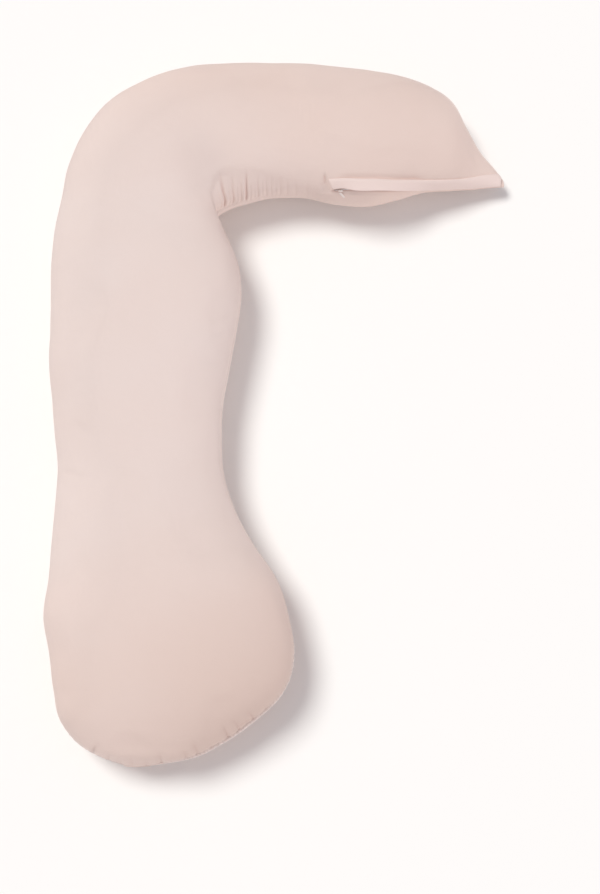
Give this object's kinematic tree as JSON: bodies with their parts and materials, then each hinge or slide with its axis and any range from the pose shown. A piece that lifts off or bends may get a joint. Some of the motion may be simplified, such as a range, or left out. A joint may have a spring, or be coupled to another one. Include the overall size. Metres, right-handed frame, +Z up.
{
  "type": "pregnancy pillow",
  "caption": "L-shaped pregnancy pillow with a full foot, a long back arm and a short arm turned over at its head, closed by a zip under a cloth flap.",
  "frame": {"origin": "on the surface the pillow lies on, under the middle of its outline", "axes": "+Y along the long arm towards the bend, +X along the short arm towards its zipped end, +Z up through the crown"},
  "size_m": [0.8415, 1.295, 0.2023],
  "materials": {
    "pink_jersey": "pale pink cotton jersey knit, matt",
    "zip_coil": "dyed nylon coil, a little darker than the cloth",
    "zip_metal": "small enamelled slider and pull in the cloth's colour"
  },
  "bodies": {
    "root": {"pillow_body": "pink_jersey", "zip_flap": "pink_jersey", "zip_chain": "zip_coil", "zip_slider": "zip_metal", "zip_pull": "zip_metal"}
  },
  "joints": []
}
